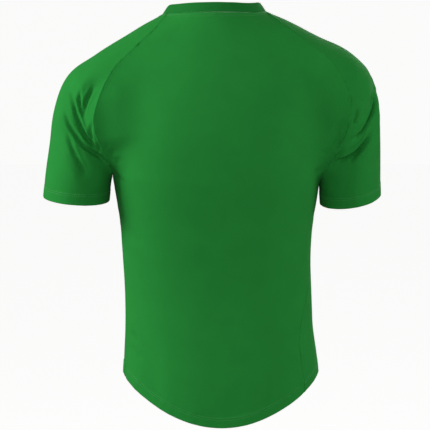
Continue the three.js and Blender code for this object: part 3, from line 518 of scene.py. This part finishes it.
class Jersey:
    """The panels while they are being made: their meshes, and where their edges are sewn."""

    def __init__(self, cloth):
        self.meshes = {}
        for name in PANELS:
            rough = outer_side(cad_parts[name])
            self.meshes[name] = refine(rough, name, cloth.refinement, EDGE_STRIP)
        self.collar = surface_of([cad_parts["collar"].data])
        self.surface = surface_of(self.meshes.values())
        self.creases = [crease_line(self, seen, places) for seen, places, *_ in CREASES]
        for mesh in self.meshes.values():
            refine_creased(mesh, self.creases, CREASE_SURROUNDINGS)
        self.runs = {name: edge_runs(mesh) for name, mesh in self.meshes.items()}
        self.kinds = {name: self.edge_kinds(name) for name in PANELS}
        self.rim_normals = self.close_seams()

    def close_seams(self):
        """Brings the sewn edges together; gives the way that the cloth faces at each of them."""
        rims = {}
        for name in PANELS:
            points, normals = read_points(self.meshes[name])
            sewn = sorted({
                i for run, kind in zip(self.runs[name], self.kinds[name]) if kind == "seam"
                for i in run})
            rims[name] = (points, normals, sewn, self.edge_places(name, "seam"))
        shared = {}
        for name, (points, normals, sewn, _) in rims.items():
            others = [rim for other, rim in rims.items() if other != name]
            along = tree_of([place for rim in others for place in rim[3]])
            partners = tree_of([rim[0][i] for rim in others for i in rim[2]])
            facing = [rim[1][i] for rim in others for i in rim[2]]
            moved = points.copy()
            shared[name] = {}
            for i in sewn:
                place, _, gap = along.find(points[i])
                if gap < SEWN:
                    moved[i] += (np.array(place) - points[i]) * DRAWN_IN
                    both = normals[i] + facing[partners.find(points[i])[1]]
                    shared[name][i] = both / np.linalg.norm(both)
            self.meshes[name].vertices.foreach_set("co", moved.ravel())
            self.meshes[name].update()
        return shared

    def edge_kinds(self, name):
        """For each open edge of a panel: neck, seam or free."""
        others = []
        for other in PANELS:
            if other == name:
                continue
            mesh = self.meshes[other]
            others.extend(mesh.vertices[i].co for i in {i for run in self.runs[other] for i in run})
        near = tree_of(others)
        mesh = self.meshes[name]
        kinds = []
        for a, b in self.runs[name]:
            middle = (mesh.vertices[a].co + mesh.vertices[b].co) / 2
            to_collar = self.collar.find_nearest(middle)[3]
            if to_collar < SEWN:
                kinds.append("neck")
            elif near.find(middle)[2] < SEWN + (mesh.vertices[a].co - mesh.vertices[b].co).length / 2:
                kinds.append("seam")
            else:
                kinds.append("free")
        return kinds

    def edge_places(self, name, kind):
        """Close-set places along the open edges of one kind."""
        mesh = self.meshes[name]
        places = []
        for (a, b), sort in zip(self.runs[name], self.kinds[name]):
            if sort != kind:
                continue
            start, end = mesh.vertices[a].co, mesh.vertices[b].co
            steps = max(1, round((end - start).length / (0.5 * MM)))
            places.extend(start.lerp(end, i / steps) for i in range(steps))
        return places


def edge_distance(points, places, reach):
    """Each point's distance to the nearest place, and that place's number; no further than reach."""
    distance = np.full(len(points), reach * 2)
    nearest = np.zeros(len(points), dtype=int)
    if not places:
        return distance, nearest
    tree = tree_of(places)
    low = np.min(places, axis=0) - reach
    high = np.max(places, axis=0) + reach
    inside = np.nonzero(np.all((points > low) & (points < high), axis=1))[0]
    for i in inside:
        place, number, gap = tree.find(points[i])
        distance[i] = gap
        nearest[i] = number
    return distance, nearest


def bump_at(distance, middle, width):
    """1 at the middle distance, falling off smoothly over the width."""
    return np.exp(-((distance - middle) / width) ** 2)


def step_down(distance, edge, width):
    """1 below the edge and 0 above it, with a smooth change of that width."""
    t = np.clip((distance - edge) / width + 0.5, 0, 1)
    return 1 - t * t * (3 - 2 * t)


def noise_along(places, size):
    """An even, repeatable noise at each place, with features of about that size."""
    return np.array([noise.noise(Vector(p) / size) for p in places])


def sewn_relief(jersey, name, points, sewing):
    """How seams, puckers and folded hems raise or lower the cloth of one panel."""
    relief = np.zeros(len(points))
    folded = np.zeros(len(points))
    reach = 34 * MM
    for kind in ("seam", "neck", "free"):
        places = jersey.edge_places(name, kind)
        distance, nearest = edge_distance(points, places, reach)
        close = distance < reach
        if not close.any():
            continue
        gap = distance[close]
        ripple = noise_along([places[i] for i in nearest[close]], 9 * MM)
        fine = noise_along([places[i] for i in nearest[close]], 4 * MM)
        if kind == "seam":
            dip = -sewing.seam_depth * bump_at(gap, 0, 1.5 * MM)
            allowance = 0.3 if name.startswith("sleeve") else 0.12
            ridge = allowance * MM * bump_at(gap, 3.6 * MM, 2.2 * MM)
            pucker = (0.55 * ripple + 0.2 * fine) * MM * np.exp(-gap / (8 * MM))
            relief[close] += dip + ridge + pucker * (1 - bump_at(gap, 0, 1.0 * MM))
        elif kind == "neck":
            row = sewing.neck_row
            dip = -0.6 * sewing.seam_depth * bump_at(gap, 0, 1.3 * MM)
            band = 0.35 * MM * step_down(gap, row + 1.5 * MM, 1.5 * MM)
            groove = -0.3 * MM * bump_at(gap, row - sewing.needle_gap / 2, 1.6 * MM)
            pucker = 0.3 * ripple * MM * np.exp(-gap / (6 * MM))
            relief[close] += dip + band + groove + pucker
        else:
            height = sewing.cuff_height if name.startswith("sleeve") else sewing.hem_height
            band = 0.5 * MM * step_down(gap, height, 1.6 * MM)
            groove = -0.35 * MM * (
                bump_at(gap, height - 1.2 * MM, 1.1 * MM)
                + bump_at(gap, height - 1.2 * MM - sewing.needle_gap, 1.1 * MM))
            pucker = (0.45 * ripple + 0.3 * fine) * MM * np.exp(-np.abs(gap - height) / (6 * MM))
            wave = 0.5 * ripple * MM * step_down(gap, height * 0.6, height)
            relief[close] += band + groove + pucker + wave
            folded[close] = step_down(gap, height, 1.0 * MM)
    return relief, folded


def crease_line(jersey, seen, places):
    """A crease's places joined by a smooth line and laid on the cloth, as an array of points."""
    facing = 1 if seen == "back" else -1
    # The line is laid from this far off, and a place that meets the far side is past the outline
    outside, past = 0.4, -0.03
    ends = [places[0], *places, places[-1]]
    line = []
    steps = 7
    for i in range(1, len(ends) - 2):
        p0, p1, p2, p3 = (np.array(ends[i + k], dtype=float) for k in (-1, 0, 1, 2))
        for t in np.arange(steps) / steps:
            line.append(0.5 * (2 * p1 + (p2 - p0) * t + (2 * p0 - 5 * p1 + 4 * p2 - p3) * t ** 2
                               + (3 * p1 - p0 - 3 * p2 + p3) * t ** 3))
    line.append(np.array(places[-1], dtype=float))
    laid = []
    for across, height in line:
        start = Vector((across * MM, facing * outside, height * MM))
        hit = jersey.surface.ray_cast(start, Vector((0, -facing, 0)))[0]
        if hit is None or hit.y * facing < past:
            hit = jersey.surface.find_nearest(Vector((across * MM, -facing * past, height * MM)))[0]
        laid.append(hit)
    return np.array(laid)


def crease_relief(line, deep, wide, lip, points, normals):
    """How one crease raises or lowers the cloth: a trough along a line, with banks beside it."""
    height = np.zeros(len(points))
    reach = 4.4 * wide
    near = np.nonzero(np.all(
        (points > line.min(axis=0) - reach) & (points < line.max(axis=0) + reach), axis=1))[0]
    if not len(near):
        return height
    starts, runs = line[:-1], np.diff(line, axis=0)
    lengths = np.linalg.norm(runs, axis=1) + 1e-9
    travelled = np.concatenate([[0], np.cumsum(lengths)])
    here = points[near]
    t = np.einsum("nsk,sk->ns", here[:, None] - starts[None], runs) / lengths ** 2
    t = np.clip(t, 0, 1)
    feet = starts[None] + t[..., None] * runs[None]
    gaps = np.linalg.norm(here[:, None] - feet, axis=2)
    which = gaps.argmin(axis=1)
    row = np.arange(len(near))
    gap = gaps[row, which]
    share = (travelled[which] + t[row, which] * lengths[which]) / travelled[-1]
    across = np.cross(runs[which] / lengths[which, None], normals[near])
    side = np.sign(np.einsum("nk,nk->n", here - feet[row, which], across))
    rise, fall = np.clip(share / 0.38, 0, 1), np.clip((1 - share) / 0.22, 0, 1)
    swell = rise ** 2 * (3 - 2 * rise) * fall ** 2 * (3 - 2 * fall)
    if deep < 0:
        height[near] = -deep * swell * np.exp(-(gap / wide) ** 2)
        return height
    # A crease is widest where it starts, and narrow and sharp where the cloth gathers
    u = gap / (wide * (1.15 - 0.25 * share))
    trough = -np.exp(-u ** 1.35)
    bank = 0.36 * np.exp(-((u - 1.8) / 0.8) ** 2) * (1 + lip * side)
    height[near] = deep * swell * (trough + bank)
    return height


def broad_relief(points, slackness):
    """Soft undulations a hand wide, stronger low down, and long upright ones at the sides."""
    heights = []
    for p in points:
        low = min(1.0, max(0.0, (-p[2] - 0.25) / 0.3))
        side = min(1.0, abs(p[0]) / 0.14)
        swell = noise.noise(Vector((p[0] * 11, p[1] * 11, p[2] * 6 + 3.1)))
        ripple = noise.noise(Vector((p[0] * 30, p[1] * 30, p[2] * 14 + 8.4)))
        heights.append(swell * (0.5 + 0.9 * low) + ripple * (0.12 + 0.35 * side))
    return slackness * np.array(heights)


def lay_pattern(mesh, points, across, up):
    """Writes a UV map in metres, so that the knit follows the cloth; across may wrap round a tube."""
    layer = mesh.uv_layers.new(name="cloth")
    corners = np.empty(len(mesh.loops), dtype=int)
    mesh.loops.foreach_get("vertex_index", corners)
    starts = np.empty(len(mesh.polygons), dtype=int)
    sizes = np.empty(len(mesh.polygons), dtype=int)
    mesh.polygons.foreach_get("loop_start", starts)
    mesh.polygons.foreach_get("loop_total", sizes)
    u, round_length = across
    u = u[corners].copy()
    if round_length:
        face_of = np.repeat(np.arange(len(sizes)), sizes)
        first = u[starts][face_of]
        u += round_length * np.round((first - u) / round_length)
    flat = np.stack([u, up[corners]], axis=1)
    layer.data.foreach_set("uv", flat.ravel())


def trunk_pattern(points):
    """Distance round the body from the middle of its side, and height."""
    half, deep, power = 0.160, 0.105, 2.4
    turn = np.linspace(-np.pi, np.pi, 1441)
    s, c = np.abs(np.sin(turn)), np.abs(np.cos(turn))
    radius = ((s / half) ** power + (c / deep) ** power) ** (-1 / power)
    ring = np.stack([radius * np.sin(turn), radius * np.cos(turn)], axis=1)
    lengths = np.concatenate([[0], np.cumsum(np.linalg.norm(np.diff(ring, axis=0), axis=1))])
    angle = np.arctan2(points[:, 0], np.abs(points[:, 1]) + 1e-6)
    return (np.interp(angle, turn, lengths), 0), points[:, 2]


def sleeve_pattern(points, side):
    """Distance round the arm from its outside, and distance along it."""
    top = np.array([side * 0.176, 0.004, -0.120])
    cuff = np.array([side * 0.229, -0.010, -0.320])
    along = (cuff - top) / np.linalg.norm(cuff - top)
    aft = np.array([0.0, 1.0, 0.0]) - along * along[1]
    aft /= np.linalg.norm(aft)
    out = np.cross(along, aft) * side
    reach = points - top
    angle = np.arctan2(reach @ aft, reach @ out)
    radius = 0.059
    return (angle * radius, 2 * np.pi * radius), reach @ along


def finish_panel(jersey, name, cloth, sewing):
    """One panel of the jersey as a finished piece."""
    mesh = jersey.meshes[name]
    points, normals = read_points(mesh)
    for i, normal in jersey.rim_normals[name].items():
        normals[i] = normal
    relief, folded = sewn_relief(jersey, name, points, sewing)
    calm = 1 - 0.85 * folded
    for line, (seen, places, deep, wide, lip) in zip(jersey.creases, CREASES):
        height = crease_relief(line, deep * MM, wide * MM, lip, points, normals)
        relief += cloth.crease_strength * height * calm
    relief += broad_relief(points, cloth.slackness) * calm
    side = {"sleeve_left": 1, "sleeve_right": -1}.get(name)
    across, up = sleeve_pattern(points, side) if side else trunk_pattern(points)
    moved = points + normals * relief[:, None]
    mesh.vertices.foreach_set("co", moved.ravel())
    lay_pattern(mesh, points, across, up)
    mesh.polygons.foreach_set("use_smooth", [True] * len(mesh.polygons))
    mesh.update()
    piece = link_object(name + "_panel", mesh)
    group = piece.vertex_groups.new(name="folded")
    for i in np.nonzero(folded > 0.01)[0]:
        group.add([int(i)], float(folded[i]), "REPLACE")
    wall = piece.modifiers.new("Knit thickness", "SOLIDIFY")
    wall.thickness = 2 * cloth.thickness
    wall.offset = -1
    wall.vertex_group = "folded"
    wall.thickness_vertex_group = 0.5
    mesh.materials.append(material_once("polyester_interlock_knit", polyester_knit, cloth))
    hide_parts(name)
    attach(piece, "root")
    return piece


def ordered_runs(runs):
    """Open edges joined end to end, as lists of point numbers; a closed one ends where it starts."""
    links = {}
    for a, b in runs:
        links.setdefault(a, []).append(b)
        links.setdefault(b, []).append(a)
    chains = []
    unused = {frozenset(run) for run in runs}
    starts = [p for p, ends in links.items() if len(ends) == 1] + list(links)
    for start in starts:
        here, chain = start, [start]
        while True:
            onward = [p for p in links[here] if frozenset((here, p)) in unused]
            if not onward:
                break
            unused.discard(frozenset((here, onward[0])))
            here = onward[0]
            chain.append(here)
        if len(chain) > 3:
            chains.append(chain)
    return chains


def stitch_row(bm, jersey, name, kind, height, sewing, surface, mesh):
    """Sews one row of stitches on a panel, a set distance in from its edges of one kind."""
    runs = [run for run, sort in zip(jersey.runs[name], jersey.kinds[name]) if sort == kind]
    for chain in ordered_runs(runs):
        edge = [mesh.vertices[i].co for i in chain]
        row = []
        for i, place in enumerate(edge):
            before, after = edge[max(0, i - 1)], edge[min(len(edge) - 1, i + 1)]
            along = (after - before).normalized()
            normal = surface.find_nearest(place)[1]
            inward = normal.cross(along).normalized()
            tries = []
            for way in (inward, -inward):
                spot, up, _, gap = surface.find_nearest(place + way * height)
                tries.append((gap, spot, up))
            row.append(min(tries, key=lambda t: t[0])[1:])
        lengths = [0.0]
        for (a, _), (b, _) in zip(row, row[1:]):
            lengths.append(lengths[-1] + (b - a).length)
        count = int(lengths[-1] / sewing.stitch_pitch)
        k = 0
        for n in range(count):
            wanted = (n + 0.5) * lengths[-1] / count
            while k < len(row) - 2 and wanted > lengths[k + 1]:
                k += 1
            (a, up), (b, _) = row[k], row[k + 1]
            t = (wanted - lengths[k]) / (lengths[k + 1] - lengths[k] + 1e-9)
            along = (b - a).normalized()
            spot, up, _, _ = surface.find_nearest(a.lerp(b, t))
            side = up.cross(along).normalized()
            up = along.cross(side)
            turn = Matrix((along, side, up)).transposed().to_4x4()
            size = Matrix.Diagonal(
                (sewing.stitch_pitch * 0.43, sewing.thread_width / 2, sewing.thread_width * 0.42, 1))
            bmesh.ops.create_uvsphere(
                bm, u_segments=6, v_segments=4, radius=1,
                matrix=Matrix.Translation(spot + up * 0.02 * MM) @ turn @ size)


def sew_panel(jersey, name, sewing):
    """The visible cover stitching of one panel, as one piece."""
    mesh = bpy.data.objects[name + "_panel"].data
    surface = surface_of([mesh])
    bm = bmesh.new()
    height = sewing.cuff_height if name.startswith("sleeve") else sewing.hem_height
    for gap in (0, sewing.needle_gap):
        stitch_row(bm, jersey, name, "free", height - 1.2 * MM - gap, sewing, surface, mesh)
        stitch_row(bm, jersey, name, "neck", sewing.neck_row - gap, sewing, surface, mesh)
    bmesh.ops.recalc_face_normals(bm, faces=bm.faces)
    for face in bm.faces:
        face.smooth = True
    thread = bpy.data.meshes.new(name + "_stitches")
    bm.to_mesh(thread)
    bm.free()
    piece = link_object(name + "_stitches", thread)
    thread.materials.append(material_once("spun_polyester_thread", sewing_thread, sewing))
    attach(piece, "root")
    return piece


# What the panels' step leaves for the steps after it
making = {}


def made_panels():
    """The panels that the stitching and the collar are made on."""
    if "jersey" not in making:
        raise RuntimeError("make the panels first")
    return making["jersey"]


class JERSEY_OT_panels(bpy.types.Operator):
    """Make the back, the front and the two sleeves"""

    bl_idname = "jersey.panels"
    bl_label = "Panels"

    def execute(self, context):
        cloth, sewing = context.scene.jersey_cloth, context.scene.jersey_sewing
        jersey = Jersey(cloth)
        for name in PANELS:
            finish_panel(jersey, name, cloth, sewing)
        making["jersey"] = jersey
        return {"FINISHED"}


class JERSEY_OT_stitching(bpy.types.Operator):
    """Sew the cover stitch at the hem, the cuffs and the neck seam"""

    bl_idname = "jersey.stitching"
    bl_label = "Stitching"

    def execute(self, context):
        jersey = made_panels()
        for name in PANELS:
            stitches = sew_panel(jersey, name, context.scene.jersey_sewing)
        return {"FINISHED"}


class JERSEY_OT_collar(bpy.types.Operator):
    """Make the rib band round the neck"""

    bl_idname = "jersey.collar"
    bl_label = "Collar"

    def execute(self, context):
        cloth = context.scene.jersey_cloth
        jersey = made_panels()
        bm = welded(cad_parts["collar"])
        join_quads(bm)
        mesh = refine(bm, "collar", 3, 0)
        points, normals = read_points(mesh)
        middle = np.array([0.0, -0.007, 0.0])
        reach = points - middle
        turn = np.arctan2(reach[:, 0], reach[:, 1])
        radius = 0.075
        ease = np.array([noise.noise(Vector(p) * 45) for p in points])
        moved = points + normals * (0.25 * MM * ease)[:, None]
        # The lower edge is sewn to the panels: it is drawn on to their neck edges
        seam = tree_of([p for name in PANELS for p in jersey.edge_places(name, "neck")])
        grip = 5 * MM
        for i, place in enumerate(moved):
            sewn, _, gap = seam.find(place)
            if gap < grip:
                moved[i] += (np.array(sewn) - place) * 0.85 * (1 - gap / grip)
        mesh.vertices.foreach_set("co", moved.ravel())
        lay_pattern(mesh, points, (turn * radius, 2 * np.pi * radius), points[:, 2])
        mesh.polygons.foreach_set("use_smooth", [True] * len(mesh.polygons))
        mesh.update()
        piece = link_object("collar_band", mesh)
        mesh.materials.append(material_once("polyester_rib_knit", rib_knit, cloth))
        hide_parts("collar")
        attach(piece, "root")
        return {"FINISHED"}


def aim(thing, place, target):
    """Puts a light or camera at a place, looking at a target."""
    thing.location = place
    thing.rotation_euler = (Vector(target) - Vector(place)).to_track_quat("-Z", "Y").to_euler()


def stage_piece(name, bm, paint):
    """A part of the studio. It is lit for the picture alone, and throws no light on the jersey."""
    mesh = bpy.data.meshes.new(name)
    bm.to_mesh(mesh)
    bm.free()
    mesh.materials.append(paint)
    piece = link_object(name, mesh)
    piece.visible_diffuse = False
    piece.visible_glossy = False
    piece.visible_shadow = False


class JERSEY_OT_stage(bpy.types.Operator):
    """Set up the camera, the lights, and the pale floor and backdrop"""

    bl_idname = "jersey.stage"
    bl_label = "Studio"

    def execute(self, context):
        scene, studio = context.scene, context.scene.jersey_studio
        middle = Vector((-0.00165, 0.0, -0.327))
        across, above = math.radians(177), math.radians(8)
        away = Vector((math.sin(across) * math.cos(above), -math.cos(across) * math.cos(above),
                       math.sin(above)))
        camera = bpy.data.objects.new("camera", bpy.data.cameras.new("camera"))
        scene.collection.objects.link(camera)
        camera.data.lens = 152.2
        camera.data.sensor_width = 36
        camera.data.clip_end = 500
        aim(camera, middle + away * studio.camera_distance, middle)
        scene.camera = camera
        lights = [
            ("key_light", (2.95, 0.45, 1.0), 1.2, studio.key_power),
            ("fill_light", (0.3, 3.3, 0.3), 2.0, studio.fill_power),
            ("side_light", (-3.0, 0.5, 0.2), 1.0, studio.side_power),
            ("front_light", (-1.2, -2.6, 1.1), 2.0, studio.front_power),
        ]
        for name, place, size, power in lights:
            lamp = bpy.data.lights.new(name, "AREA")
            lamp.energy = power
            lamp.size = size
            light = bpy.data.objects.new(name, lamp)
            scene.collection.objects.link(light)
            aim(light, place, (0, 0, -0.28))
        world = bpy.data.worlds.new("pale_studio")
        world.use_nodes = True
        world.node_tree.nodes.clear()
        glow = add_node(
            world.node_tree, "ShaderNodeBackground",
            {"Color": (1, 1, 1, 1), "Strength": studio.surroundings})
        add_node(world.node_tree, "ShaderNodeOutputWorld", {"Surface": glow.outputs[0]})
        scene.world = world
        paint = painted_floor(studio)
        bm = bmesh.new()
        bmesh.ops.create_grid(bm, x_segments=1, y_segments=1, size=FLOOR_REACH)
        bmesh.ops.translate(bm, verts=bm.verts, vec=(0, 0, -FLOOR_DROP))
        stage_piece("floor", bm, paint)
        # A wide dome closes the studio behind the floor
        bm = bmesh.new()
        bmesh.ops.create_uvsphere(bm, u_segments=64, v_segments=32, radius=DOME_RADIUS)
        bmesh.ops.reverse_faces(bm, faces=bm.faces)
        stage_piece("backdrop", bm, paint)
        scene.view_settings.view_transform = "Standard"
        return {"FINISHED"}


class JERSEY_PT_panel(bpy.types.Panel):
    """The jersey's settings and steps"""

    bl_idname = "JERSEY_PT_panel"
    bl_label = "Football Jersey"
    bl_space_type = "VIEW_3D"
    bl_region_type = "UI"
    bl_category = "Jersey"

    def draw(self, context):
        for name in ("jersey_cloth", "jersey_sewing", "jersey_studio"):
            settings = getattr(context.scene, name)
            box = self.layout.box()
            for key in settings.__annotations__:
                box.prop(settings, key)
        for step in STEPS:
            self.layout.operator(step.bl_idname)


STEPS = (JERSEY_OT_stage, JERSEY_OT_panels, JERSEY_OT_stitching, JERSEY_OT_collar)
CLASSES = (ClothSettings, SewingSettings, StudioSettings, *STEPS, JERSEY_PT_panel)


def register():
    for cls in CLASSES:
        bpy.utils.register_class(cls)
    bpy.types.Scene.jersey_cloth = PointerProperty(type=ClothSettings)
    bpy.types.Scene.jersey_sewing = PointerProperty(type=SewingSettings)
    bpy.types.Scene.jersey_studio = PointerProperty(type=StudioSettings)


def unregister():
    del bpy.types.Scene.jersey_studio
    del bpy.types.Scene.jersey_sewing
    del bpy.types.Scene.jersey_cloth
    for cls in reversed(CLASSES):
        bpy.utils.unregister_class(cls)


def main():
    """Makes the studio and the jersey."""
    register()
    bpy.ops.jersey.stage()
    bpy.ops.jersey.panels()
    bpy.ops.jersey.stitching()
    bpy.ops.jersey.collar()


if __name__ == "__main__":
    main()
